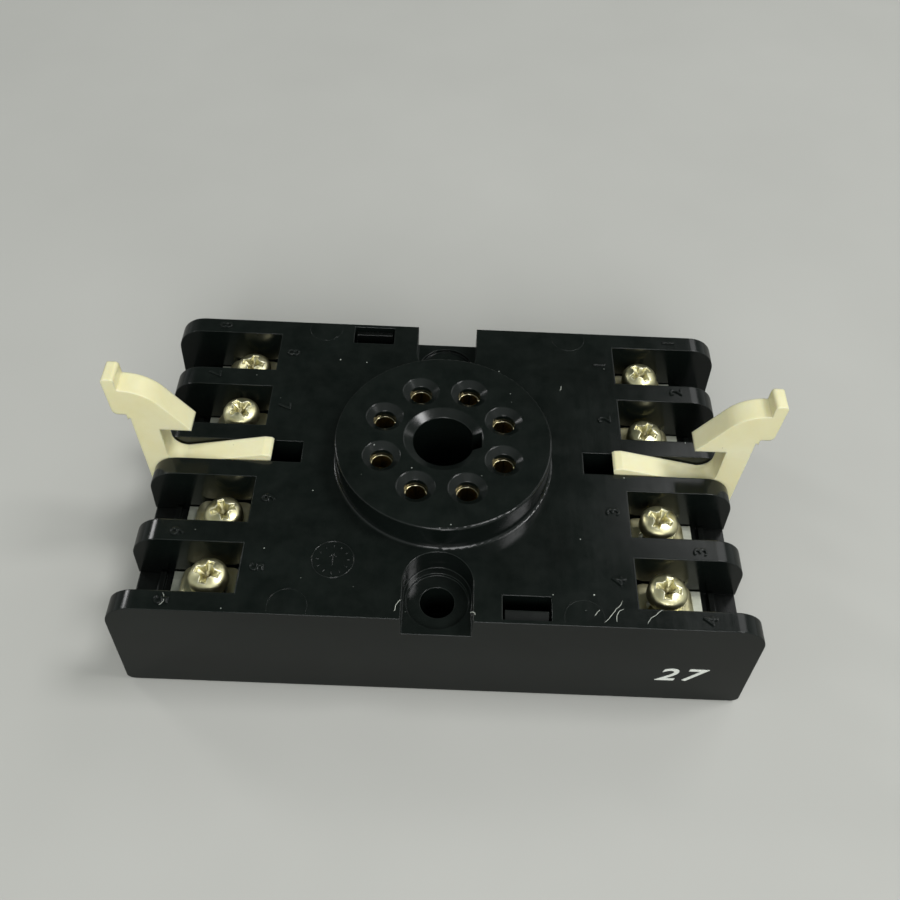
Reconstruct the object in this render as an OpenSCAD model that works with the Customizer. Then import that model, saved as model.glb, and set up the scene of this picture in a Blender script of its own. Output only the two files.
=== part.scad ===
// Octal relay socket for surface mounting: a moulded cover snapped over a moulded base, with eight
// screw terminals, eight rolled pin contacts and two pivoting retaining clips.
// Frame: origin at the centre of the underside, +X along the long side, +Z up out of the pin holes.

/* [Body] */
// Length of the two outer walls at their foot
wall_len = 83.2; // [83.2:0.4:110]
// Width over the two outer walls
body_w = 49.64; // [49.64:0.2:62]
// Height of the deck and of all walls
deck_h = 19.72; // [18.5:0.1:26]
// Thickness of the outer walls
wall_t = 2.67; // [2.2:0.05:3.2]
// Rounding of the walls' upper corners
wall_round = 4; // [2:0.25:5]
// Rounding of the outer walls' lower corners
foot_round = 1; // [0.4:0.1:2]
// How much each wall end leans in from foot to deck
wall_lean = 1; // [0.4:0.1:1.6]
// How far the barriers stop short of the outer walls
barrier_step = 1.2; // [0.8:0.1:1.6]
// Thickness of the barriers beside the clips
inner_barrier_t = 2.64; // [2.2:0.05:3.2]
// Thickness of the barriers between the wells
outer_barrier_t = 3.14; // [2.4:0.05:3.6]
// Length of the terminal wells, from the deck's edge to the end of the outer walls
well_len = 16.8; // [16:0.1:19]

/* [Pin boss] */
// Radius of the round boss
boss_r = 14.48; // [13.6:0.1:16]
// Height of the boss above the deck
boss_h = 4.24; // [3:0.1:6]
// Rounding of the boss's upper edge
boss_round = 0.25; // [0.15:0.05:0.8]
// Fillet where the boss meets the deck
boss_fillet = 0.4; // [0.2:0.1:0.6]
// Diameter of the pin circle
pin_circle_d = 17.45; // [17.45:0.05:18.2]
// Radius of the pin holes
pin_hole_r = 1.52; // [1.4:0.02:1.7]
// How much wider the pin holes' countersinks are at the top, in radius
pin_lead = 1; // [0.6:0.05:1.2]
// Radius of the centre hole for the relay's spigot
spigot_r = 4.1; // [3.8:0.05:4.3]
// How much wider the centre hole's countersink is at the top, in radius
spigot_lead = 1.25; // [0.8:0.05:1.4]
// Depth of all countersinks
lead_depth = 0.7; // [0.4:0.1:0.9]
// Width of the keyway
key_w = 2.5; // [2:0.1:3]
// Reach of the keyway from the centre
key_reach = 5.1; // [4.8:0.1:5.3]

/* [Mounting] */
// Spacing of the two mounting holes
mount_pitch = 40; // [40:0.2:41]
// Radius of the mounting holes
mount_hole_r = 2.2; // [1.8:0.05:2.4]
// Half-width of the recess round a mounting hole
recess_half_w = 4.4; // [4:0.1:5]
// Height of the recess floor
recess_floor = 15.9; // [13:0.1:16.5]
// Radius of the shallow seat for the mounting screw's head
seat_r = 4; // [3.2:0.1:4.2]
// Depth of that seat
seat_depth = 0.5; // [0.3:0.1:1]

/* [Base] */
// Height of the base's floor, which carries the terminal strips
floor_h = 11.4; // [10.6:0.1:12.4]
// Height of the rib at each terminal plate's end
rib_h = 0.6; // [0.3:0.1:1]
// Thickness of that rib
rib_t = 0.75; // [0.6:0.05:1.2]
// Gap between plate and rib
rib_gap = 1.1; // [0.6:0.1:1.4]
// Side of the cored pockets under the base
core_side = 6.5; // [4:0.5:7]
// Depth of those pockets
core_depth = 8; // [2:0.5:8]

/* [Latch hooks] */
// Length of the latch windows
window_len = 6; // [5:0.25:7]
// Distance of the latch windows' near end from the middle
window_x = 8; // [7:0.25:9]
// Width of the latch windows
window_w = 3.35; // [2.8:0.05:3.5]
// Thickness of the wall left outside the latch windows
window_skin = 0.5; // [0.4:0.05:0.9]
// Thickness of the hook arms
hook_t = 0.9; // [0.7:0.05:1.1]
// Overhang of the hook noses
hook_nose = 0.45; // [0.3:0.05:0.6]
// Fall of the hooks' sloping tops
hook_slope = 0.6; // [0.4:0.1:1]
// Distance of the hooks' tops below the deck
hook_drop = 0.2; // [0.1:0.1:0.6]

/* [Terminals] */
// Thickness of the strips
strip_t = 0.8; // [0.6:0.05:1]
// Width of the strips under the deck
strip_w = 4; // [3:0.1:4.4]
// Length of the terminal plates beyond the deck's edge
plate_len = 10.1; // [9.4:0.1:11]
// Distance of the screws from the deck's edge
screw_inset = 4.25; // [4.15:0.05:4.6]
// Radius of the screw shanks
screw_r = 1.45; // [1.2:0.05:1.6]
// Length of the screw shanks
screw_len = 8; // [6.5:0.25:8.5]
// Radius of the screw heads
head_r = 2.55; // [2.4:0.05:2.9]
// Height of the domed screw heads
head_h = 2.3; // [2.1:0.1:2.6]
// Length of the clamp washers
washer_len = 8.2; // [7:0.1:8.2]
// Thickness of the clamp washers
washer_t = 0.7; // [0.5:0.05:0.9]
// Height of a clamp washer over its turned-down ends
washer_h = 1.6; // [1.3:0.05:1.9]
// Play of the loose washers round the screws
washer_play = 0.45; // [0.2:0.05:0.5]

/* [Pin contacts] */
// Outer radius of the rolled sleeves
sleeve_r = 1.85; // [1.7:0.05:1.95]
// Bore radius of the rolled sleeves
sleeve_bore_r = 1.35; // [1.2:0.05:1.4]
// Depth of the sleeves' tops below the boss
sleeve_depth = 1.7; // [1.4:0.1:2.4]

/* [Retaining clips] */
// Width of the clip slots
slot_w = 3.6; // [3.2:0.1:4]
// Thickness of the clips
clip_t = 3.2; // [2.8:0.1:3.6]
// Height of the clip pivots
pivot_h = 7.9; // [7:0.1:8.4]
// Radius of the trunnions
trunnion_r = 1.25; // [1:0.05:1.4]
// Length of each trunnion
trunnion_len = 1.3; // [1:0.1:1.5]
// Radius of the clip's round foot
foot_r = 2.6; // [2.3:0.1:2.7]
// Height of the jaw's underside above the deck
jaw_lift = 5.6; // [5:0.1:7]
// Radius of the jaw's curved back
jaw_r = 5.5; // [5.2:0.05:5.8]
// Height of the thumb knob's top above the jaw's underside
knob_lift = 9.3; // [8.6:0.1:11]

/* [Fits] */
// Gap between mating mouldings
gap = 0.15; // [0.1:0.01:0.25]
// Radial running clearance of pins and screws
run_gap = 0.05; // [0.02:0.01:0.08]

/* [Hidden] */
$fn = 64;
eps = 0.01;

// Lengths along X, as half-lengths from the middle
wall_half = wall_len / 2;
deck_half = wall_half - well_len;
barrier_half = wall_half - barrier_step;
ledge_step = 1.9;
base_half = wall_half - ledge_step;
screw_x = deck_half + screw_inset;
plate_end = deck_half + plate_len;

// Places along Y, as distances from the middle
body_half = body_w / 2;
wall_in = body_half - wall_t;
slot_half = slot_w / 2;
well_w = (wall_in - outer_barrier_t - inner_barrier_t - slot_half) / 2;
inner_well_in = slot_half + inner_barrier_t;
inner_row = inner_well_in + well_w / 2;
outer_barrier_in = inner_well_in + well_w;
outer_row = wall_in - well_w / 2;
mount_y = mount_pitch / 2;
arch_y = mount_y - 0.5;
block_wall = 0.6;
block_half_w = recess_half_w + block_wall;
block_in = arch_y - recess_half_w - block_wall;
window_out = body_half - window_skin;
window_in = window_out - window_w;
nose_out = window_out - gap / 2;
arm_out = nose_out - hook_nose;
arm_in = arm_out - hook_t;

// Heights
top = deck_h + boss_h;
plate_top = floor_h + strip_t;
cover_foot = floor_h + run_gap;
channel_top = plate_top + run_gap;
sleeve_top = top - sleeve_depth;
nose_foot = recess_floor + 0.8;
hook_top = deck_h - hook_drop;
hook_root = 0.8;
hook_root_top = 3.8;
spigot_floor = 5;
tip_floor = 4.2;

// Cored pockets: place of the first in each group, and their pitch
core_at = [13, 7];
core_pitch = 8;

// Pin contacts
pin_r = pin_circle_d / 2;
flange_r = sleeve_r + 0.5;
flange_t = 0.3;
rivet_r = sleeve_bore_r + 0.5;
rivet_t = 0.4;
tail_r = sleeve_bore_r + 0.25;
seam_w = 0.5;
seam_foot = 2;

// Terminal screws, washers and strips
collar_r = screw_r + 0.5;
collar_h = 1.2;
pocket_r = collar_r + 0.2;
washer_w = well_w - 2 * gap - 0.1;
washer_hole_r = screw_r + washer_play + run_gap;
washer_edge_r = 1.8;
washer_lip = 0.4;
recess_slot = 0.8;
recess_span = 3;
recess_h = 1.2;
head_rim = 0.9;
head_corner_r = 1;

// Clip: places are given from the pivot's X and the deck's height
pivot_x = base_half - 2.4;
leg_out = 3.1;
jaw_tip = -4.35;
leg_in = -0.2;
jaw_c = [3.5, jaw_lift + 1.85];
neck_r = 0.7;
bulge_r = 0.75;
bulge_out = 5.18;
bulge_lift = 2.8;
knob_in = 3.7;
knob_out = 5.32;
knob_r = 0.45;
arm_root = -1.45;
arm_tip = 1.05;
arm_reach = pivot_x - deck_half + 1.7;
slot_in = deck_half - 5.6;
clip_slot_in = pivot_x - 4.3;
foot_room = 0.5;
corner_r = 2;

// Terminal number -> [side, half, outer row], counted clockwise from the back right corner
TERMINALS = [[1, 1, true], [1, 1, false], [1, -1, false], [1, -1, true],
             [-1, -1, true], [-1, -1, false], [-1, 1, false], [-1, 1, true]];
// How far each screw stands backed out, in millimetres
SCREW_OUT = [2.45, 1.45, 3.1, 2.95, 2.5, 1.2, 3, 1.2];
// Share of its play that each loose washer has slid outward
WASHER_SHIFT = [0.2, 0.2, 1, 0.9, 1, 1, 0.7, 0.7];
// Which way each screw's cross recess has stopped, in degrees
RECESS_TURN = [35, 62, 28, 12, 78, 20, 50, 8];

function side(i) = TERMINALS[i - 1][0];
function half(i) = TERMINALS[i - 1][1];
function is_outer(i) = TERMINALS[i - 1][2];
function row_y(outer) = outer ? outer_row : inner_row;
function pin_angle(outer) = outer ? 67.5 : 22.5;
function pin_at(outer) = pin_r * [cos(pin_angle(outer)), sin(pin_angle(outer))];
function strip_knee(outer) = [outer ? deck_half - 6 : slot_in - 4.7, row_y(outer)];
// Point where the line from p touches the upper side of the circle at c with radius r
function touch(p, c, r) =
    let (d = norm(c - p), a = atan2(c[1] - p[1], c[0] - p[0]) + asin(r / d))
    p + sqrt(d * d - r * r) * [cos(a), sin(a)];

// Puts children drawn for the back right corner at terminal i
module at_corner(i) {
    mirror([side(i) < 0 ? 1 : 0, 0, 0])
        mirror([0, half(i) < 0 ? 1 : 0, 0])
            children();
}

// Both ways round: the part repeats after half a turn
module half_turns() {
    for (a = [0, 180])
        rotate([0, 0, a]) children();
}

// Extrudes an XZ outline along Y over y0..y1
module along_y(y0, y1) {
    translate([0, y1, 0])
        rotate([90, 0, 0])
            linear_extrude(height = y1 - y0) children();
}

// Points of a right half outline, with the mirrored left half after them
function both_sides(points) =
    concat(points, [for (k = [len(points) - 1 : -1 : 0]) [-points[k][0], points[k][1]]]);

// Side view of a wall or barrier from z0 to the deck: leaning ends, round upper corners, and round
// lower corners where foot_r isn't 0
module wall_outline(foot_half, z0, foot_r) {
    lean = atan(wall_lean / deck_h);
    side = [cos(lean), sin(lean)];
    upper_z = deck_h - wall_round;
    upper = [foot_half - wall_round / cos(lean) - upper_z * tan(lean), upper_z];
    lower = [foot_half - z0 * tan(lean) - foot_r * (1 + sin(lean)) / cos(lean), z0 + foot_r];
    foot = foot_r > 0 ? [[lower[0], z0], lower + foot_r * side] : [lower];
    polygon(both_sides(concat(foot, [upper + wall_round * side, [upper[0], deck_h]])));
    for (s = [-1, 1])
        translate([s * upper[0], upper[1]]) circle(r = wall_round);
    if (foot_r > 0)
        for (s = [-1, 1])
            translate([s * lower[0], lower[1]]) circle(r = foot_r);
}

// Cutter for the countersink of a round hole of radius r at height z, wider by lead at the top
module countersink(r, lead, z) {
    slope = lead / lead_depth;
    translate([0, 0, z - lead_depth - eps])
        cylinder(r1 = r - slope * eps, r2 = r + lead + slope, h = lead_depth + 1 + eps);
}

// Plan of one terminal strip for the back right corner, mitred at its knee, grown by extra all round
module strip_plan(outer, extra) {
    w = strip_w / 2 + extra;
    pin = pin_at(outer);
    knee = strip_knee(outer);
    turn = atan2(knee[1] - pin[1], knee[0] - pin[0]);
    across = w * [-sin(turn), cos(turn)];
    mitre = w * [-tan(turn / 2), 1];
    end = [deck_half + 1, row_y(outer)];
    translate(pin) circle(r = flange_r + extra);
    polygon([pin + across, knee + mitre, end + [0, w], end - [0, w], knee - mitre, pin - across]);
}

// Plan of a clamp washer: a rectangle with rounded corners
module washer_plan() {
    dx = washer_len / 2 - washer_edge_r;
    dy = washer_w / 2 - washer_edge_r;
    square([washer_len, 2 * dy], center = true);
    square([2 * dx, washer_w], center = true);
    for (x = [-dx, dx], y = [-dy, dy])
        translate([x, y]) circle(r = washer_edge_r);
}

// Side view of a clamp washer: flat top with turned-down ends
module washer_side() {
    outer_r = washer_h - washer_lip;
    flat = washer_len / 2 - outer_r;
    translate([-flat, washer_h - washer_t]) square([2 * flat, washer_t]);
    for (s = [-1, 1])
        translate([s * flat, washer_lip])
            intersection() {
                difference() {
                    circle(r = outer_r);
                    circle(r = outer_r - washer_t);
                }
                translate([s > 0 ? 0 : -outer_r, 0]) square([outer_r, outer_r]);
            }
    for (s = [-1, 1])
        translate([s * (washer_len / 2 - washer_t / 2) - washer_t / 2, 0])
            square([washer_t, washer_lip + eps]);
}

// Side view of the open right clip, from the pivot's X and the deck's height
module clip_outline() {
    pivot_z = pivot_h - deck_h;
    tip = [jaw_tip, jaw_lift];
    tip_touch = touch(tip, jaw_c, jaw_r);
    neck_z = jaw_lift + bulge_lift - neck_r;
    knob_top = jaw_lift + knob_lift;
    // Round foot and leg
    translate([0, pivot_z]) circle(r = foot_r);
    polygon([[-foot_r, pivot_z], [foot_r, pivot_z], [leg_out - 0.1, pivot_z + 6.5], [leg_out, jaw_lift],
             [leg_in, jaw_lift], [leg_in, arm_root - 1], [-foot_r, arm_root - 1.7]]);
    // Jaw with its curved back
    polygon([[leg_out, jaw_lift - eps], tip + [0, -eps], tip, tip_touch, [jaw_c[0], jaw_c[1] + jaw_r],
             [knob_in + eps, jaw_c[1] + jaw_r], [knob_in + eps, neck_z + neck_r],
             [leg_out, neck_z + neck_r]]);
    intersection() {
        translate(jaw_c) circle(r = jaw_r);
        polygon([tip_touch, tip_touch + [0, jaw_r], jaw_c + [0, jaw_r + 1], jaw_c]);
    }
    // Hollow corner between the leg and the bulge behind the jaw
    difference() {
        translate([leg_out - eps, neck_z]) square([neck_r + eps, neck_r + eps]);
        translate([leg_out + neck_r, neck_z]) circle(r = neck_r);
    }
    // Bulge, running up into the thumb knob
    translate([bulge_out - bulge_r, neck_z + neck_r + bulge_r]) circle(r = bulge_r);
    polygon([[jaw_c[0], neck_z + neck_r], [bulge_out - bulge_r, neck_z + neck_r],
             [bulge_out, neck_z + neck_r + bulge_r], [knob_out, knob_top - knob_r],
             [knob_out - knob_r, knob_top], [knob_in + knob_r, knob_top], [knob_in, knob_top - knob_r],
             [knob_in, jaw_c[1] + jaw_r - 1], [jaw_c[0], jaw_c[1] + jaw_r - 1]]);
    for (x = [knob_in + knob_r, knob_out - knob_r])
        translate([x, knob_top - knob_r]) circle(r = knob_r);
    // Ejector arm
    polygon([[leg_in, arm_root - 2.2], [leg_in, arm_root], [leg_in - corner_r, arm_root],
             [1.2 - arm_reach, arm_tip], [0.3 - arm_reach, arm_tip - 0.1], [-arm_reach, arm_tip - 0.4],
             [0.2 - arm_reach, arm_tip - 1.2], [-foot_r, arm_root - 1.7]]);
    // Rounded corner between arm and leg
    difference() {
        translate([leg_in - corner_r, arm_root - eps]) square([corner_r + eps, corner_r + eps]);
        translate([leg_in - corner_r, arm_root + corner_r]) circle(r = corner_r);
    }
}

module clip_right() {
    translate([pivot_x, 0, 0]) {
        translate([0, 0, deck_h])
            along_y(-clip_t / 2, clip_t / 2) clip_outline();
        translate([0, 0, pivot_h])
            rotate([90, 0, 0])
                cylinder(r = trunnion_r, h = clip_t + 2 * trunnion_len, center = true);
    }
}

module retaining_clip_right() {
    color("#eae4bd") clip_right();
}

module retaining_clip_left() {
    color("#eae4bd") mirror([1, 0, 0]) clip_right();
}

// One end's well: an open-ended box between y0 and y1
module well(y0, y1) {
    for (s = [-1, 1])
        translate([s > 0 ? deck_half : -wall_half - 1, y0, cover_foot - 1])
            cube([well_len + 1, y1 - y0, top]);
}

// Recess and through hole for one mounting screw, at the back
module mount_cut() {
    translate([0, 0, recess_floor]) {
        translate([0, arch_y, 0]) cylinder(r = recess_half_w, h = top);
        translate([-recess_half_w, arch_y, 0]) cube([2 * recess_half_w, body_half, top]);
    }
    translate([0, mount_y, recess_floor - seat_depth]) cylinder(r = seat_r, h = top);
    translate([0, mount_y, -1]) cylinder(r = mount_hole_r, h = top);
}

// Block round the mounting hole, down to the underside, grown by extra
module mount_block(extra) {
    translate([-block_half_w - extra, block_in - extra, 0])
        cube([2 * (block_half_w + extra), body_half - block_in + extra, cover_foot + 1]);
}

module cover() {
    color("#1d211f")
    difference() {
        union() {
            for (s = [-1, 1])
                along_y(s > 0 ? wall_in : -body_half, s > 0 ? body_half : -wall_in)
                    wall_outline(wall_half, 0, foot_round);
            along_y(-outer_barrier_in - outer_barrier_t, outer_barrier_in + outer_barrier_t)
                wall_outline(barrier_half, cover_foot, 0);
            translate([-deck_half, -wall_in - eps, cover_foot])
                cube([2 * deck_half, 2 * (wall_in + eps), deck_h - cover_foot]);
            half_turns() mount_block(0);
            // Pin boss with a rounded upper edge and a fillet at its foot
            translate([0, 0, deck_h - 1])
                rotate_extrude() {
                    square([boss_r, boss_h + 1 - boss_round]);
                    square([boss_r - boss_round, boss_h + 1]);
                    translate([boss_r - boss_round, boss_h + 1 - boss_round]) circle(r = boss_round);
                    difference() {
                        square([boss_r + boss_fillet, 1 + boss_fillet]);
                        translate([boss_r + boss_fillet, 1 + boss_fillet]) circle(r = boss_fillet);
                    }
                }
        }
        // Terminal wells and clip slots
        for (s = [-1, 1])
            well(s > 0 ? inner_well_in : -outer_barrier_in, s > 0 ? outer_barrier_in : -inner_well_in);
        for (s = [-1, 1])
            translate([s > 0 ? slot_in : -wall_half, -slot_half, cover_foot - 1])
                cube([wall_half - slot_in, slot_w, deck_h]);
        // Pin holes, contact cavities and strip channels
        for (i = [1:8])
            at_corner(i) {
                translate(pin_at(is_outer(i))) {
                    cylinder(r = pin_hole_r, h = top + 1);
                    cylinder(r = sleeve_r + gap, h = sleeve_top + gap);
                    cylinder(r = flange_r + gap, h = channel_top + flange_t + gap);
                    countersink(pin_hole_r, pin_lead, top);
                }
                translate([0, 0, cover_foot - 1])
                    linear_extrude(height = channel_top - cover_foot + 1)
                        strip_plan(is_outer(i), gap);
            }
        // Keyed centre hole
        cylinder(r = spigot_r, h = top + 1);
        countersink(spigot_r, spigot_lead, top);
        translate([0, -key_w / 2, 0]) cube([key_reach, key_w, top + 1]);
        half_turns() {
            mount_cut();
            // Latch window, with the step that the hook's nose catches
            translate([-window_x - window_len, window_in, 0]) {
                translate([0, 0, -1]) cube([window_len, arm_out + gap / 2 - window_in, top]);
                translate([0, 0, nose_foot]) cube([window_len, window_w, top]);
            }
        }
    }
}

// Snap hook at the back left, rising from the base through the latch window
module snap_hook() {
    translate([-window_x - window_len + 2 * gap, 0, 0])
        rotate([90, 0, 90])
            linear_extrude(height = window_len - 4 * gap)
                polygon([[window_in - 1, hook_root], [arm_out, hook_root], [arm_out, nose_foot + run_gap],
                         [nose_out, nose_foot + run_gap], [nose_out, hook_top - hook_slope],
                         [arm_in, hook_top], [arm_in, hook_root_top], [window_in - 1, hook_root_top]]);
}

module base() {
    color("#171b19")
    difference() {
        union() {
            difference() {
                translate([-base_half, -wall_in + gap, 0])
                    cube([2 * base_half, 2 * (wall_in - gap), floor_h]);
                half_turns() {
                    translate([0, 0, -1]) mount_block(gap);
                    // Room for the hook to flex
                    translate([-window_x - window_len, window_in, hook_root_top])
                        cube([window_len, window_w, floor_h]);
                }
            }
            half_turns() snap_hook();
            // Ribs at the ends of the terminal plates
            for (i = [1:8])
                at_corner(i)
                    translate([plate_end + rib_gap, row_y(is_outer(i)) - well_w / 2 + gap, floor_h - eps])
                        cube([rib_t, well_w - 2 * gap, rib_h + eps]);
        }
        for (i = [1:8])
            at_corner(i) {
                // Pocket for the screw's tip, and recess for the contact's rivet
                translate([screw_x, row_y(is_outer(i)), tip_floor]) cylinder(r = pocket_r, h = top);
                translate(concat(pin_at(is_outer(i)), floor_h - rivet_t - gap))
                    cylinder(r = rivet_r + 2 * gap, h = 5);
            }
        // Room for the relay's spigot and key
        translate([0, 0, spigot_floor]) cylinder(r = key_reach + gap, h = top);
        // Clip slots and the bores of their pivots
        for (s = [-1, 1]) {
            translate([s > 0 ? clip_slot_in : -base_half - 1, -slot_half, pivot_h - foot_r - foot_room])
                cube([base_half + 1 - clip_slot_in, slot_w, top]);
            translate([s * pivot_x, 0, pivot_h])
                rotate([90, 0, 0])
                    cylinder(r = trunnion_r + run_gap, h = clip_t + 2 * trunnion_len + 2 * gap,
                             center = true);
        }
        // Cored pockets from below, with ribs between them
        for (sx = [-1, 1], sy = [-1, 1], nx = [0, 1], ny = [0, 1])
            translate([sx * (core_at[0] + nx * core_pitch), sy * (core_at[1] + ny * core_pitch), 0])
                cube([core_side, core_side, 2 * core_depth], center = true);
    }
}

module terminal_strip(i) {
    plate_half = well_w / 2 - gap;
    color("#c9cccb")
    at_corner(i)
        translate([0, 0, floor_h])
            difference() {
                union() {
                    linear_extrude(height = strip_t) {
                        strip_plan(is_outer(i), 0);
                        translate([deck_half + gap, row_y(is_outer(i)) - plate_half])
                            square([plate_len - gap, 2 * plate_half]);
                    }
                    translate([screw_x, row_y(is_outer(i)), -collar_h])
                        cylinder(r = collar_r, h = collar_h + eps);
                }
                translate([screw_x, row_y(is_outer(i)), -5]) cylinder(r = screw_r + run_gap, h = 10);
                translate(concat(pin_at(is_outer(i)), -5)) cylinder(r = tail_r + run_gap, h = 10);
            }
}

module pin_contact(i) {
    z_rivet = floor_h - rivet_t;
    color("#c8a84e")
    at_corner(i)
        translate(concat(pin_at(is_outer(i)), 0))
            difference() {
                union() {
                    translate([0, 0, z_rivet]) cylinder(r = rivet_r, h = rivet_t);
                    translate([0, 0, floor_h - eps]) cylinder(r = tail_r, h = strip_t + 2 * eps);
                    translate([0, 0, plate_top]) cylinder(r = flange_r, h = flange_t);
                    translate([0, 0, plate_top]) cylinder(r = sleeve_r, h = sleeve_top - plate_top);
                }
                translate([0, 0, z_rivet - 1]) cylinder(r = sleeve_bore_r, h = top);
                // Seam of the rolled sheet, at the front
                rotate([0, 0, -90 * half(i)])
                    translate([0, -seam_w / 2, plate_top + seam_foot])
                        cube([sleeve_r + 1, seam_w, top]);
            }
}

module clamp_washer(i) {
    color("#d6d2ae")
    at_corner(i)
        translate([screw_x, row_y(is_outer(i)), plate_top])
            difference() {
                translate([washer_play * WASHER_SHIFT[i - 1], 0, 0])
                    intersection() {
                        along_y(-washer_w / 2, washer_w / 2) washer_side();
                        linear_extrude(height = washer_h) washer_plan();
                    }
                cylinder(r = washer_hole_r, h = 5);
            }
}

// Half profile of the domed head: upright rim, round corner, and a dome that runs into the corner
module head_profile() {
    corner = [head_r - head_corner_r, head_rim];
    h = head_h - head_corner_r;
    dome_z = (h * h - corner[0] * corner[0] - head_rim * head_rim) / (2 * (h - head_rim));
    dome_r = head_h - dome_z;
    meet = [0, dome_z] + (corner - [0, dome_z]) * dome_r / norm(corner - [0, dome_z]);
    polygon([[0, 0], [head_r, 0], [head_r, head_rim], meet, [0, meet[1]]]);
    intersection() {
        translate(corner) circle(r = head_corner_r);
        square([head_r, head_h]);
    }
    intersection() {
        translate([0, dome_z]) circle(r = dome_r);
        translate([0, meet[1] - eps]) square([meet[0], head_h]);
    }
}

module terminal_screw(i) {
    color("#cfc98d")
    at_corner(i)
        translate([screw_x, row_y(is_outer(i)), plate_top + washer_h + run_gap + SCREW_OUT[i - 1]])
            difference() {
                union() {
                    rotate_extrude() head_profile();
                    translate([0, 0, -screw_len]) cylinder(r = screw_r, h = screw_len + eps);
                }
                // Cross recess
                for (a = [0, 90])
                    rotate([0, 0, a + RECESS_TURN[i - 1]])
                        translate([-recess_span / 2, -recess_slot / 2, head_h - recess_h])
                            cube([recess_span, recess_slot, 5]);
            }
}

cover();
base();
retaining_clip_right();
retaining_clip_left();
for (i = [1:8]) {
    terminal_screw(i);
    clamp_washer(i);
    terminal_strip(i);
    pin_contact(i);
}
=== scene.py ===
"""Looks of the octal relay socket: finishes, screws, numerals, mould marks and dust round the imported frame."""
import math

import bmesh
import bpy
import numpy as np
from mathutils import Matrix, Vector


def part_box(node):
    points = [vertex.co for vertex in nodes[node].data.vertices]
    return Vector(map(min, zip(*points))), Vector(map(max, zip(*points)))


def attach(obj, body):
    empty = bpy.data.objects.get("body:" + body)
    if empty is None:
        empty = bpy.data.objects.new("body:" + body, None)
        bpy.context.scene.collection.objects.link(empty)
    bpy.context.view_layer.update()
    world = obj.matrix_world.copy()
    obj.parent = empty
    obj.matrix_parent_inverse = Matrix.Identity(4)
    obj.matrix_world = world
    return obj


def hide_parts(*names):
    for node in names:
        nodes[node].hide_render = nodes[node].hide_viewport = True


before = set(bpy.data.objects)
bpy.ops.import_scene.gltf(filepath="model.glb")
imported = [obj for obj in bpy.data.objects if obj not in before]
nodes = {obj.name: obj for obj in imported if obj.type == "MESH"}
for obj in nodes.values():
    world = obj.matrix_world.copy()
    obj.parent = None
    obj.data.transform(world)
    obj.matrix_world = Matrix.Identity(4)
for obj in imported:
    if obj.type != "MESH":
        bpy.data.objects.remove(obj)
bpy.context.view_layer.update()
MM = 0.001
TERMINAL_COUNT = 8

# The deck's height over the terminal plates, on which the washers lie, in mm
DECK_OVER_PLATE = 7.51
# The deck's height and the front wall's face, in mm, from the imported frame
DECK = (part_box("clamp_washer_1")[0][2] + DECK_OVER_PLATE * MM) / MM
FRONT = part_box("cover")[0][1] / MM


# ---------------------------------------------------------------- small helpers

def colour(code):
    """sRGB hex, such as "1d211f", as linear RGBA."""
    srgb = np.array([int(code[k:k + 2], 16) / 255 for k in (0, 2, 4)])
    linear = np.where(srgb <= 0.04045, srgb / 12.92, ((srgb + 0.055) / 1.055) ** 2.4)
    return (*linear, 1.0)


def per_mm(size):
    """Texture scale at which one feature is size millimetres across."""
    return 1 / (size * MM)


def add(tree, kind, settings=None, links=None):
    """Adds one node: settings are its properties and socket values, links are its inputs' sources."""
    node = tree.nodes.new(kind)
    for name, value in (settings or {}).items():
        if isinstance(name, int) or name in node.inputs:
            node.inputs[name].default_value = value
        else:
            setattr(node, name, value)
    for name, source in (links or {}).items():
        tree.links.new(source, node.inputs[name])
    return node


def new_material(name):
    """An empty material's tree, and the object coordinates that its patterns lie on."""
    material = bpy.data.materials.new(name)
    material.use_nodes = True
    tree = material.node_tree
    tree.nodes.clear()
    place = add(tree, "ShaderNodeTexCoord").outputs["Object"]
    return material, tree, place


def cloud(tree, place, size, low, high, detail=4.0, stretch=(1, 1, 1)):
    """Noise with features size millimetres across, spread over low to high."""
    laid = add(tree, "ShaderNodeMapping", {"Scale": stretch}, {"Vector": place}).outputs[0]
    noise = add(tree, "ShaderNodeTexNoise", {"Scale": per_mm(size), "Detail": detail, "Roughness": 0.6},
                {"Vector": laid})
    return add(tree, "ShaderNodeMapRange", {"From Min": 0.3, "From Max": 0.7, "To Min": low, "To Max": high},
               {"Value": noise.outputs[0]}).outputs[0]


def blend(tree, share, under, over):
    """Colour between under and over; each is a hex code or a source."""
    mix = add(tree, "ShaderNodeMix", {"data_type": "RGBA"}, {0: share})
    for socket, paint in ((6, under), (7, over)):
        if isinstance(paint, str):
            mix.inputs[socket].default_value = colour(paint)
        else:
            tree.links.new(paint, mix.inputs[socket])
    return mix.outputs[2]


def times(tree, a, b):
    """Product of two masks; b may be a number."""
    node = add(tree, "ShaderNodeMath", {"operation": "MULTIPLY"}, {0: a})
    if isinstance(b, (int, float)):
        node.inputs[1].default_value = b
    else:
        tree.links.new(b, node.inputs[1])
    return node.outputs[0]


def rounded(tree, radius):
    """Normal of the surface as if its edges had this radius in mm, and a mask that is 1 on those edges."""
    soft = add(tree, "ShaderNodeBevel", {"samples": 6, "Radius": radius * MM}).outputs[0]
    flat = add(tree, "ShaderNodeNewGeometry").outputs["Normal"]
    along = add(tree, "ShaderNodeVectorMath", {"operation": "DOT_PRODUCT"}, {0: soft, 1: flat})
    edge = add(tree, "ShaderNodeMapRange", {"From Min": 0.995, "From Max": 0.86},
               {"Value": along.outputs["Value"]})
    return soft, edge.outputs[0]


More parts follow.
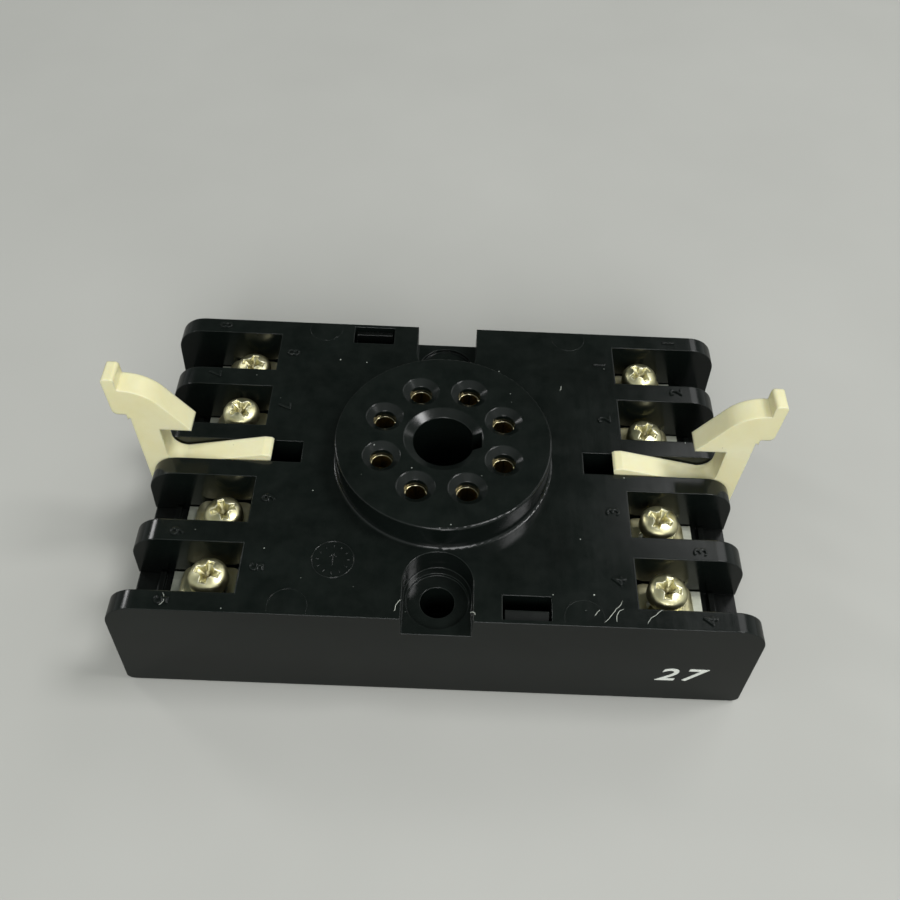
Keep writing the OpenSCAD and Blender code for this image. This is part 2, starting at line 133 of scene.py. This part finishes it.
def facing_up(tree):
    """1 where the surface faces up and dust can lie, 0 on the sides."""
    normal = add(tree, "ShaderNodeNewGeometry").outputs["Normal"]
    parts = add(tree, "ShaderNodeSeparateXYZ", {}, {0: normal})
    level = add(tree, "ShaderNodeMapRange", {"From Min": 0.5, "From Max": 0.95},
                {"Value": parts.outputs["Z"]})
    return level.outputs[0]


def specks(tree, place, spacing, size, share):
    """Round specks size mm across, about spacing mm apart, of which only this share are kept."""
    cells = add(tree, "ShaderNodeTexVoronoi", {"Scale": per_mm(spacing)}, {"Vector": place})
    near = add(tree, "ShaderNodeMapRange", {"From Min": 0.5 * size / spacing, "From Max": 0.3 * size / spacing},
               {"Value": cells.outputs["Distance"]})
    pick = add(tree, "ShaderNodeSeparateColor", {}, {0: cells.outputs["Color"]})
    kept = add(tree, "ShaderNodeMath", {"operation": "GREATER_THAN", 1: 1 - share}, {0: pick.outputs[0]})
    return times(tree, near.outputs[0], kept.outputs[0])


def finish(tree, settings, links):
    """Principled surface with these values, joined to the output."""
    skin = add(tree, "ShaderNodeBsdfPrincipled", settings, links)
    add(tree, "ShaderNodeOutputMaterial", {}, {"Surface": skin.outputs[0]})


# ---------------------------------------------------------------- finishes

def moulded_black(name, dark, pale, roughness, dusty):
    """Glass-filled PBT, injection moulded in polished steel: near-black, slightly green, semi-gloss.

    The eye sees a smooth skin with a faint cloudiness, a film of grey dust on level faces with some
    bright specks, fine rub marks, and thin light lines along the edges."""
    material, tree, place = new_material(name)
    body = blend(tree, cloud(tree, place, 11, 0, 1), dark, pale)
    level = facing_up(tree)
    film = times(tree, times(tree, cloud(tree, place, 2.6, 0, 1, 8), level), 0.016 * dusty)
    body = blend(tree, film, body, "8d948d")
    grit = times(tree, specks(tree, place, 1.3, 0.22, 0.10 * dusty), level)
    lint = times(tree, specks(tree, place, 3.9, 0.32, 0.16 * dusty), level)
    soft, edge = rounded(tree, 0.22)
    rubbed = times(tree, edge, cloud(tree, place, 5, 0.2, 0.9, 2))
    body = blend(tree, times(tree, rubbed, 0.2), body, "4c544f")
    body = blend(tree, grit, body, "8f958d")
    body = blend(tree, lint, body, "b9beb4")
    sheen = cloud(tree, place, 4.2, roughness - 0.03, roughness + 0.06, 6)
    streaks = cloud(tree, place, 0.5, 0.0, 0.05, 3, (1, 0.06, 1))
    sheen = add(tree, "ShaderNodeMath", {"operation": "ADD"}, {0: sheen, 1: streaks}).outputs[0]
    grain = add(tree, "ShaderNodeBump", {"Strength": 0.03, "Distance": 0.02 * MM},
                {"Height": cloud(tree, place, 0.28, 0, 1, 3), "Normal": soft}).outputs[0]
    lumps = add(tree, "ShaderNodeBump", {"Strength": 0.5, "Distance": 0.05 * MM},
                {"Height": grit, "Normal": grain}).outputs[0]
    finish(tree, {"IOR": 1.5, "Specular IOR Level": 0.36},
           {"Base Color": body, "Roughness": sheen, "Normal": lumps})
    return material


def natural_nylon():
    """Unfilled polyamide in its own cream colour, moulded: waxy, and light goes a little way into it.

    The eye sees a warm translucent body with soft blotches, paler rubbed edges and faint handling marks."""
    material, tree, place = new_material("moulded_natural_nylon")
    body = blend(tree, cloud(tree, place, 7, 0, 1), "e9e2b2", "eeeac4")
    body = blend(tree, times(tree, cloud(tree, place, 1.9, 0, 1, 8), 0.16), body, "d6cb92")
    soft, edge = rounded(tree, 0.3)
    body = blend(tree, times(tree, edge, 0.3), body, "f4f1d6")
    body = blend(tree, specks(tree, place, 2.6, 0.16, 0.12), body, "9c8f63")
    sheen = cloud(tree, place, 2.2, 0.34, 0.48, 6)
    flow = add(tree, "ShaderNodeBump", {"Strength": 0.12, "Distance": 0.03 * MM},
               {"Height": cloud(tree, place, 0.9, 0, 1, 4, (1, 1, 0.35)), "Normal": soft}).outputs[0]
    finish(tree, {"IOR": 1.53, "Subsurface Weight": 0.3, "Subsurface Radius": (1.0, 0.82, 0.42),
                  "Subsurface Scale": 1.2 * MM},
           {"Base Color": body, "Roughness": sheen, "Normal": flow})
    return material


def yellow_zinc(name, bright, tarnish, roughness):
    """Steel, zinc plated with a thin yellow passivation: pale greenish gold metal.

    The eye sees gold and silver patches, fine scratches and brighter rubbed edges."""
    material, tree, place = new_material(name)
    body = blend(tree, cloud(tree, place, 1.3, 0, 1, 5), bright, tarnish)
    body = blend(tree, times(tree, cloud(tree, place, 0.6, 0, 1, 4), 0.35), body, "e4e6cf")
    soft, edge = rounded(tree, 0.12)
    body = blend(tree, times(tree, edge, 0.5), body, "f1efdc")
    sheen = cloud(tree, place, 0.8, roughness - 0.07, roughness + 0.12, 5)
    marks = add(tree, "ShaderNodeBump", {"Strength": 0.22, "Distance": 0.02 * MM},
                {"Height": cloud(tree, place, 0.22, 0, 1, 5, (1, 0.35, 1)), "Normal": soft}).outputs[0]
    finish(tree, {"Metallic": 1.0}, {"Base Color": body, "Roughness": sheen, "Normal": marks})
    return material


def screw_zinc():
    """The same plating on the screws, with painted shade in the recess and a driver's bright rub marks.

    Painted shade darkens the recess along an attribute that is 1 at its foot, and wear follows the attribute
    rub, which is 1 along its rim."""
    material, tree, place = new_material("yellow_zinc_screw")
    body = blend(tree, cloud(tree, place, 1.1, 0, 1, 5), "ece6b8", "dbd29c")
    body = blend(tree, times(tree, cloud(tree, place, 0.5, 0, 1, 4), 0.5), body, "e6e6c8")
    painted_recess_shade = add(tree, "ShaderNodeAttribute", {"attribute_name": "painted_recess_shade"}).outputs["Fac"]
    rub = add(tree, "ShaderNodeAttribute", {"attribute_name": "rub"}).outputs["Fac"]
    body = blend(tree, times(tree, rub, cloud(tree, place, 0.7, 0.5, 1.0)), body, "fbf9e6")
    # Painted shade: the recess colour darkens to brown towards its foot, where shade falls
    body = blend(tree, times(tree, painted_recess_shade, cloud(tree, place, 0.5, 0.45, 0.95)), body, "4d4326")
    sheen = cloud(tree, place, 0.6, 0.28, 0.46, 5)
    marks = add(tree, "ShaderNodeBump", {"Strength": 0.3, "Distance": 0.03 * MM},
                {"Height": cloud(tree, place, 0.3, 0, 1, 5)}).outputs[0]
    finish(tree, {"Metallic": 1.0}, {"Base Color": body, "Roughness": sheen, "Normal": marks})
    return material


def nickel_strip():
    """Brass strip, blanked and nickel plated: pale grey metal with rolling marks along its length."""
    material, tree, place = new_material("nickel_plated_strip")
    body = blend(tree, cloud(tree, place, 1.6, 0, 1, 5), "ecefe0", "d8dbc9")
    soft, edge = rounded(tree, 0.1)
    body = blend(tree, times(tree, edge, 0.4), body, "eef0e6")
    rolling = cloud(tree, place, 0.25, 0.4, 0.56, 4, (0.08, 1, 1))
    marks = add(tree, "ShaderNodeBump", {"Strength": 0.2, "Distance": 0.01 * MM},
                {"Height": rolling, "Normal": soft}).outputs[0]
    finish(tree, {"Metallic": 1.0}, {"Base Color": body, "Roughness": rolling, "Normal": marks})
    return material


def rolled_brass():
    """Spring brass, rolled to a sleeve and flash plated: light gold, with draw marks up the bore."""
    material, tree, place = new_material("rolled_brass_contact")
    body = blend(tree, cloud(tree, place, 0.8, 0, 1, 5), "efe0ae", "dcc584")
    soft, edge = rounded(tree, 0.12)
    body = blend(tree, times(tree, edge, 0.7), body, "efe9cf")
    draw = cloud(tree, place, 0.4, 0.16, 0.26, 3, (1, 1, 0.1))
    marks = add(tree, "ShaderNodeBump", {"Strength": 0.1, "Distance": 0.01 * MM},
                {"Height": draw, "Normal": soft}).outputs[0]
    finish(tree, {"Metallic": 1.0}, {"Base Color": body, "Roughness": draw, "Normal": marks})
    return material


def white_ink():
    """Pad-printed white ink: matt, thin, with small gaps where the plastic shows through."""
    material, tree, place = new_material("pad_printed_white_ink")
    body = blend(tree, times(tree, cloud(tree, place, 0.35, 0, 1, 5), 0.35), "e9ece4", "9aa19a")
    gaps = specks(tree, place, 0.45, 0.12, 0.4)
    body = blend(tree, gaps, body, "2b302d")
    finish(tree, {"Roughness": 0.6, "IOR": 1.5}, {"Base Color": body})
    return material


def cotton_lint():
    """Loose cotton fibre: pale grey, dull and a little translucent."""
    material, tree, place = new_material("cotton_lint")
    body = blend(tree, cloud(tree, place, 0.5, 0, 1, 3), "aab0a6", "d4d7cb")
    finish(tree, {"Roughness": 0.85, "Sheen Weight": 0.3}, {"Base Color": body})
    return material


black_cover = moulded_black("moulded_black_pbt_cover", "080c0a", "0e1311", 0.13, 1.0)
finishes = {
    "cover": black_cover,
    "base": moulded_black("moulded_black_pbt_base", "070908", "0b0e0c", 0.2, 0.5),
    "retaining_clip": natural_nylon(),
    "terminal_screw": screw_zinc(),
    "clamp_washer": yellow_zinc("yellow_zinc_washer", "f2ecc4", "e2d8a0", 0.36),
    "terminal_strip": nickel_strip(),
    "pin_contact": rolled_brass(),
}
for name, node in nodes.items():
    kind = next(k for k in finishes if name.startswith(k))
    node.data.materials.clear()
    node.data.materials.append(finishes[kind])


# ---------------------------------------------------------------- making pieces

def make_piece(name, points, faces, finish_made, body, slot, attributes=None):
    """A piece from points in metres and its faces, closed and facing outwards, riding on a body."""
    mesh = bpy.data.meshes.new(name)
    mesh.from_pydata(points.tolist(), [], faces)
    for key, values in (attributes or {}).items():
        mesh.attributes.new(key, "FLOAT", "POINT").data.foreach_set("value", values.astype(np.float32))
    shell = bmesh.new()
    shell.from_mesh(mesh)
    bmesh.ops.recalc_face_normals(shell, faces=shell.faces)
    shell.to_mesh(mesh)
    shell.free()
    mesh.shade_smooth()
    mesh.materials.append(finish_made)
    piece = bpy.data.objects.new(name, mesh)
    bpy.context.scene.collection.objects.link(piece)
    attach(piece, body)
    return piece


def grid_faces(rows, columns, start=0, wrap_rows=False):
    """Quads between neighbouring rows of a grid whose columns close on themselves."""
    row = np.arange(rows if wrap_rows else rows - 1)[:, None]
    column = np.arange(columns)[None, :]
    after_row, after_column = (row + 1) % rows, (column + 1) % columns
    quads = np.stack([row * columns + column, row * columns + after_column,
                      after_row * columns + after_column, after_row * columns + column], axis=-1)
    return (quads.reshape(-1, 4) + start).tolist()


def tube(path, wide, high, closed=False, sides=10):
    """Points and faces of a bead along a path: at each step an ellipse with half-axes wide, sideways, and
    high, upwards. An open bead narrows to its ends by the square root of the distance from them."""
    count = len(path)
    if closed:
        along = np.roll(path, -1, 0) - np.roll(path, 1, 0)
        taper = np.ones(count)
    else:
        along = np.gradient(path, axis=0)
        share = np.linspace(0, 1, count)
        taper = np.clip(np.minimum(share, 1 - share) * 8, 0.0004, 1) ** 0.5
    up = np.array([0, 0, 1.0])
    aside = np.cross(up, along)
    aside /= np.linalg.norm(aside, axis=1)[:, None]
    angle = np.arange(sides) / sides * 2 * math.pi
    ring = (path[:, None, :]
            + aside[:, None, :] * (np.cos(angle)[None, :] * wide * taper[:, None])[:, :, None]
            + up * (np.sin(angle)[None, :] * high * taper[:, None])[:, :, None])
    faces = grid_faces(count, sides, 0, closed)
    if not closed:
        faces += [list(range(sides))[::-1], list(range((count - 1) * sides, count * sides))]
    return ring.reshape(-1, 3), faces


def gather(parts):
    """One set of points and faces from several."""
    points, faces, start = [], [], 0
    for part_points, part_faces in parts:
        points.append(part_points)
        faces += [[k + start for k in face] for face in part_faces]
        start += len(part_points)
    return np.concatenate(points), faces


# ---------------------------------------------------------------- terminal screws

# Head, shank with its thread, the neck under the head and the tip, in mm
HEAD_R, HEAD_H, HEAD_RIM, HEAD_CORNER = 2.55, 2.3, 0.9, 1.0
SHANK_R, SHANK_LEN, PITCH, THREAD_DEPTH = 1.45, 8.0, 0.5, 0.27
NECK, RUN_OUT, TIP_R, TIP_LEN, TIP_DRAW = 0.2, 0.8, 0.9, 0.7, 0.3
# Cross recess, in mm: its wings, its hub, its floor with a cone in the middle, and its walls' slope
REACH, WING_HALF, WING_TAPER, HUB_R = 1.6, 0.56, 0.1, 0.95
FLOOR, CONE, CONE_R, WALL_SLOPE, FOOT_ROUND = 0.34, 1.15, 1.3, 2.4, 0.08
COLUMNS, SHANK_ROWS = 208, 100
# For each screw: which way its recess has stopped, in degrees, whether it is on the right (1) or the left
# (-1), and whether it is in the back half (1) or the front one (-1)
RECESS_TURN = [35, 62, 28, 12, 78, 20, 50, 8]
SIDE = [1, 1, 1, 1, -1, -1, -1, -1]
HALF = [1, 1, -1, -1, -1, -1, 1, 1]


def head_top(r):
    """Height of the head over its seat at radius r: a dome that runs into a round corner."""
    corner = HEAD_R - HEAD_CORNER
    rise = HEAD_H - HEAD_CORNER
    dome_z = (rise ** 2 - corner ** 2 - HEAD_RIM ** 2) / (2 * (rise - HEAD_RIM))
    dome_r = HEAD_H - dome_z
    meet = corner * dome_r / math.hypot(corner, HEAD_RIM - dome_z)
    dome = dome_z + np.sqrt(np.maximum(dome_r ** 2 - r ** 2, 0))
    edge = HEAD_RIM + np.sqrt(np.maximum(HEAD_CORNER ** 2 - (r - corner) ** 2, 0))
    return np.where(r < meet, dome, edge)


def cross_recess(x, y, wear):
    """Depth of the cross recess and its rim mask: two tapered wings with steep walls, deepest in the middle.

    Depth is the smaller of the floor's depth and the wall's, which grows with the distance inside the
    wing's outline; a smooth minimum rounds its foot."""
    r = np.hypot(x, y)
    reach = REACH + 0.08 * wear
    inside = np.full(x.shape, -9.0)
    for along, aside in ((x, y), (y, x)):
        half_wide = WING_HALF - WING_TAPER * np.abs(along) / reach
        inside = np.maximum(inside, np.minimum(half_wide - np.abs(aside), reach - np.abs(along)))
    inside = np.maximum(inside, HUB_R - r)
    floor = FLOOR + CONE * np.clip(1 - r / CONE_R, 0, 1)
    wall = inside * WALL_SLOPE
    depth = -FOOT_ROUND * np.logaddexp(-floor / FOOT_ROUND, -wall / FOOT_ROUND)
    rim = np.exp(-((inside + 0.03) / 0.08) ** 2)
    return np.where(inside > -0.25, np.maximum(depth, 0), 0), rim


def turned(radius, height, theta):
    """Points (radius cos theta, radius sin theta, height), with radius and height given for each row."""
    return np.stack(np.broadcast_arrays(radius * np.cos(theta), radius * np.sin(theta), height), axis=-1)


def screw(index):
    """A domed screw as one grid: rows run from the head's middle over its rim, in along its seat, down the
    shank and to the tip. On the shank the radius follows a ridge that winds once per pitch."""
    low, high = (Vector(v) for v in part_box("terminal_screw_%d" % index))
    middle = np.array([(low.x + high.x) / 2, (low.y + high.y) / 2, high.z - HEAD_H * MM])
    theta = np.arange(COLUMNS) / COLUMNS * 2 * math.pi
    draw = np.random.default_rng(40 + index)
    wear = draw.uniform(0.2, 1)
    # Head: radii packed closer where the recess is
    radii = np.concatenate([np.linspace(0.03, 1.8, 46), np.linspace(1.86, HEAD_R - 0.12, 8),
                            HEAD_R - HEAD_CORNER + HEAD_CORNER * np.sin(np.radians([80, 84, 88, 90]))])
    turn = math.radians(RECESS_TURN[index - 1]) * SIDE[index - 1] * HALF[index - 1]
    x, y = radii[:, None] * np.cos(theta - turn), radii[:, None] * np.sin(theta - turn)
    depth, rim = cross_recess(x, y, wear)
    burr = sum(a * np.sin(k * theta + p) for a, k, p in
               zip(draw.uniform(0.2, 1, 4), (3, 5, 8, 13), draw.uniform(0, 6, 4)))
    z = head_top(radii)[:, None] - depth + rim * 0.02 * wear * burr[None, :]
    head = turned(radii[:, None], z, theta)
    # Upright rim, and the seat under the head: each ring's radius and height
    rings = np.array([(HEAD_R, 0.45), (HEAD_R, 0.08), (HEAD_R - 0.08, 0.0),
                      (SHANK_R + 0.1, 0.0), (SHANK_R, -0.1)])
    seat = turned(rings[:, :1], rings[:, 1:], theta)
    # Shank with its thread, which runs out under the head and at the tip
    steps = np.linspace(-NECK, -SHANK_LEN + 0.35, SHANK_ROWS)[:, None]
    over_tip = SHANK_LEN + steps
    phase = (steps / PITCH - theta / (2 * math.pi)) % 1
    ridge = np.clip(1.25 * np.abs(phase - 0.5) * 2 - 0.15, 0, 1)
    run_out = np.clip(np.minimum(-steps - NECK, over_tip) / RUN_OUT, 0, 1)
    r = SHANK_R - THREAD_DEPTH * ridge * run_out - TIP_DRAW * np.clip(1 - over_tip / TIP_LEN, 0, 1)
    shank = turned(r, steps, theta)
    tip = turned(TIP_R, -SHANK_LEN, theta)[None]
    rows = np.concatenate([head, seat, shank, tip])
    count = len(rows)
    top_point = [0, 0, HEAD_H - cross_recess(np.zeros(1), np.zeros(1), wear)[0][0]]
    points = np.concatenate([rows.reshape(-1, 3), [top_point], [[0, 0, -SHANK_LEN]]]) * MM + middle
    faces = grid_faces(count, COLUMNS)
    nxt = (np.arange(COLUMNS) + 1) % COLUMNS
    last = (count - 1) * COLUMNS
    faces += [[count * COLUMNS, a, b] for a, b in enumerate(nxt.tolist())]
    faces += [[count * COLUMNS + 1, last + b, last + a] for a, b in enumerate(nxt.tolist())]
    # Mask of the painted shade in the recess: it grows with the recess's depth and is 1 at its middle
    painted_recess_shade = np.zeros(len(points))
    painted_recess_shade[:depth.size] = np.clip((depth / 1.1).reshape(-1), 0, 1) ** 1.5
    painted_recess_shade[count * COLUMNS] = 1
    rub = np.zeros(len(points))
    rub[:rim.size] = rim.reshape(-1) * 0.9
    piece = make_piece("screw_detail_%d" % index, points, faces, finishes["terminal_screw"],
                       "screw_%d" % index, "terminal_screw", {"painted_recess_shade": painted_recess_shade, "rub": rub})
    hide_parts("terminal_screw_%d" % index)


for number in range(1, TERMINAL_COUNT + 1):
    screw(number)


# ---------------------------------------------------------------- numerals and mould marks

def lettering(text, size, raise_by):
    """Points and faces of a plain numeral, in mm, with its middle at the origin and its foot at z = 0."""
    curve = bpy.data.curves.new("numeral", "FONT")
    curve.body, curve.size, curve.extrude = text, size, raise_by / 2
    curve.resolution_u, curve.bevel_depth, curve.bevel_resolution = 6, 0.04, 2
    holder = bpy.data.objects.new("numeral", curve)
    bpy.context.scene.collection.objects.link(holder)
    mesh = bpy.data.meshes.new_from_object(holder.evaluated_get(bpy.context.evaluated_depsgraph_get()))
    points = np.empty(len(mesh.vertices) * 3)
    mesh.vertices.foreach_get("co", points)
    points = points.reshape(-1, 3)
    faces = [list(face.vertices) for face in mesh.polygons]
    bpy.data.objects.remove(holder)
    bpy.data.meshes.remove(mesh)
    points[:, :2] -= (points[:, :2].min(0) + points[:, :2].max(0)) / 2
    points[:, 2] -= points[:, 2].min()
    return points, faces


def placed(points, right, up, out, corner):
    """Points, in mm, turned so that x runs along right, y along up and z along out, then moved to corner."""
    return points @ (np.array([right, up, out], float)) + np.array(corner, float)


# Numerals, in mm: their size, their height, how far they are sunk, and two places at each terminal
NUMERAL_SIZE, NUMERAL_H, NUMERAL_SUNK = 2.5, 0.24, 0.04
NUMERAL_X, OUTER_Y, INNER_Y = (22.6, 33.4), (18.4, 23.5), (7.9, 13.6)
OUTER_TERMINALS = (1, 4, 5, 8)
numerals = []
for number in range(1, TERMINAL_COUNT + 1):
    side, half = SIDE[number - 1], HALF[number - 1]
    points, faces = lettering(str(number), NUMERAL_SIZE, NUMERAL_H)
    for x, y in zip(NUMERAL_X, OUTER_Y if number in OUTER_TERMINALS else INNER_Y):
        spot = (side * x, half * y, DECK - NUMERAL_SUNK)
        numerals.append((placed(points, (0, side, 0), (-side, 0, 0), (0, 0, 1), spot) * MM, faces))
numeral_piece = make_piece("terminal_numerals", *gather(numerals), black_cover, "socket", "cover")
numeral_piece.data.shade_flat()


def circle(x, y, z, radius, start=0.0, stop=360.0, steps=96, closed=True):
    """Points of a level circle or arc in mm."""
    angle = np.radians(np.linspace(start, stop, steps, endpoint=not closed))
    return np.stack([x + radius * np.cos(angle), y + radius * np.sin(angle), np.full(steps, z)], axis=-1)


ARC_R, ARC_SWEEP = 2.45, 224
marks = []
# Witness lines of the four ejector pins, which run out at the housing's edge
for x, y, start in ((-18.2, -23.7, -22), (18.0, -23.7, -22), (-18.3, 23.7, 158), (18.2, 23.6, 158)):
    arc = circle(x, y, DECK, ARC_R, start, start + ARC_SWEEP, 80, False)
    marks.append(tube(arc * MM, 0.06 * MM, 0.035 * MM))
# Plain dial of the mould: a raised ring with twelve ticks and a pointer
DIAL_X, DIAL_Y, DIAL_R = -13.3, -16.8, 2.65
marks.append(tube(circle(DIAL_X, DIAL_Y, DECK, DIAL_R) * MM, 0.11 * MM, 0.13 * MM, True))
for step in range(12):
    a = math.radians(30 * step)
    reach = np.linspace(1.7, 2.2, 9)
    tick = np.stack([DIAL_X + reach * math.cos(a), DIAL_Y + reach * math.sin(a), np.full(9, DECK)], axis=-1)
    marks.append(tube(tick * MM, 0.09 * MM, 0.1 * MM))
for bend in (-0.5, 0, 0.5):
    reach = np.linspace(0, 1, 9)
    hand = np.stack([DIAL_X + bend * reach * 0.9, DIAL_Y + 0.9 - reach * (0.6 if bend else 1.9),
                     np.full(9, DECK)], axis=-1)
    marks.append(tube(hand * MM, 0.1 * MM, 0.1 * MM))
make_piece("mould_marks", *gather(marks), black_cover, "socket", "cover")

# Plain number stamped in ink on the front wall, leaning like the type of a hand stamp, in mm
STAMP_SIZE, STAMP_H, STAMP_LEAN, STAMP_WIDE, STAMP_Z = 4.8, 0.03, 0.2, 1.15, 7.5
stamp = []
for digit, x in (("2", 30.7), ("7", 34.0)):
    points, faces = lettering(digit, STAMP_SIZE, STAMP_H)
    points[:, 0] += STAMP_LEAN * points[:, 1]
    spot = (x, FRONT + 0.02, STAMP_Z)
    stamp.append((placed(points, (STAMP_WIDE, 0, 0), (0, 0, 1), (0, -1, 0), spot) * MM, faces))
stamp_piece = make_piece("stamped_number", *gather(stamp), white_ink(), "socket", "cover")
stamp_piece.data.shade_flat()


# ---------------------------------------------------------------- lint

def fibre(x, y, z, length, heading, curl, seed, lift=0.12):
    """Path of a loose fibre lying on a level face, in mm: its heading wanders as it goes."""
    draw = np.random.default_rng(seed)
    steps = 40
    turn = heading + curl * np.linspace(0, 1, steps) + np.cumsum(draw.normal(0, 0.12, steps))
    stride = length / steps
    rise = z + 0.05 + lift * np.abs(np.sin(np.linspace(0, 1, steps) * math.pi * 2.3 + draw.uniform(0, 3)))
    return np.stack([x + np.cumsum(np.cos(turn)) * stride, y + np.cumsum(np.sin(turn)) * stride, rise], axis=-1)


lint = [tube(fibre(*spot) * MM, 0.034 * MM, 0.03 * MM, sides=6) for spot in (
    (20.2, -24.3, DECK, 4.2, 0.5, 0.6, 1), (21.9, -24.2, DECK, 2.4, 1.9, -1.6, 2),
    (25.6, -24.4, DECK, 3.2, 1.5, -1.2, 3), (19.2, -23.4, DECK, 1.1, 0.9, 0.4, 4),
    (-5.2, -23.9, DECK, 1.9, 1.4, 0.5, 5), (-33.6, -24.2, DECK, 2.0, 0.2, 1.2, 6),
    (4.0, -23.6, DECK, 0.9, 0.3, 0.3, 7), (16.5, 13.0, DECK, 1.0, 1.4, 0.7, 8))]
make_piece("lint_fibres", *gather(lint), cotton_lint(), "socket", "cover")


# ---------------------------------------------------------------- floor, light and camera

def soft_lamp(name, place, size, power):
    """A square lamp at place that looks at the frame's origin."""
    lamp = bpy.data.lights.new(name, "AREA")
    lamp.shape, lamp.size, lamp.energy = "SQUARE", size, power
    holder = bpy.data.objects.new(name, lamp)
    holder.location = place
    holder.rotation_mode = "QUATERNION"
    holder.rotation_quaternion = (-Vector(place)).to_track_quat("-Z", "Y")
    bpy.context.scene.collection.objects.link(holder)


def pale_floor():
    """A plain sheet under the socket: mid grey to the light, and pale to the camera, with its shadows kept."""
    material, tree, place = new_material("pale_paper_floor")
    seen = add(tree, "ShaderNodeLightPath").outputs["Is Camera Ray"]
    shade = blend(tree, cloud(tree, place, 60, 0, 1, 3), "b6b6b1", "bbbbb6")
    finish(tree, {"Roughness": 0.8}, {"Base Color": blend(tree, seen, "83837e", shade)})
    mesh = bpy.data.meshes.new("floor")
    mesh.from_pydata([(-2, -2, 0), (2, -2, 0), (2, 2, 0), (-2, 2, 0)], [], [(0, 1, 2, 3)])
    floor = bpy.data.objects.new("floor", mesh)
    floor.location = (0, 0, -0.0002)
    floor.data.materials.append(material)
    bpy.context.scene.collection.objects.link(floor)


def studio_world():
    """A plain grey room that is dim behind the socket, with nothing hard in it."""
    world = bpy.data.worlds.new("studio")
    bpy.context.scene.world = world
    world.use_nodes = True
    tree = world.node_tree
    way = add(tree, "ShaderNodeTexCoord").outputs["Generated"]
    behind = add(tree, "ShaderNodeVectorMath", {"operation": "DOT_PRODUCT", 1: (-0.1, 0.66, 0.74)}, {0: way})
    dim = add(tree, "ShaderNodeMapRange",
              {"interpolation_type": "SMOOTHSTEP", "From Min": 0.3, "From Max": 0.85},
              {"Value": behind.outputs["Value"]})
    room = blend(tree, dim.outputs[0], "b4b8b6", "464d49")
    tree.links.new(room, tree.nodes["Background"].inputs["Color"])


pale_floor()
studio_world()
soft_lamp("key", (0.36, 0.02, 0.66), 0.2, 2.2)
soft_lamp("fill", (0.04, -0.62, 0.42), 0.4, 3.4)
soft_lamp("window", (0.44, 0.5, 0.65), 0.4, 0.9)
soft_lamp("glint", (-0.5, 0.34, 0.42), 0.12, 0.5)

# The camera: its sensor and lens in mm, its line of sight, its right-hand side and its place
camera_data = bpy.data.cameras.new("camera")
camera_data.sensor_width = 36
camera_data.lens = 38.49
camera_data.clip_start, camera_data.clip_end = 0.005, 20
camera = bpy.data.objects.new("camera", camera_data)
forward = Vector((0.00827, 0.61580, -0.78786)).normalized()
right = Vector((0.99915, 0.02678, 0.03141)).normalized()
up = right.cross(forward).normalized()
camera.matrix_world = Matrix.Translation((-0.00016, -0.08, 0.12379)) @ Matrix(
    (right, up, -forward)).transposed().to_4x4()
bpy.context.scene.collection.objects.link(camera)
bpy.context.scene.camera = camera
bpy.context.scene.view_settings.view_transform = "Standard"
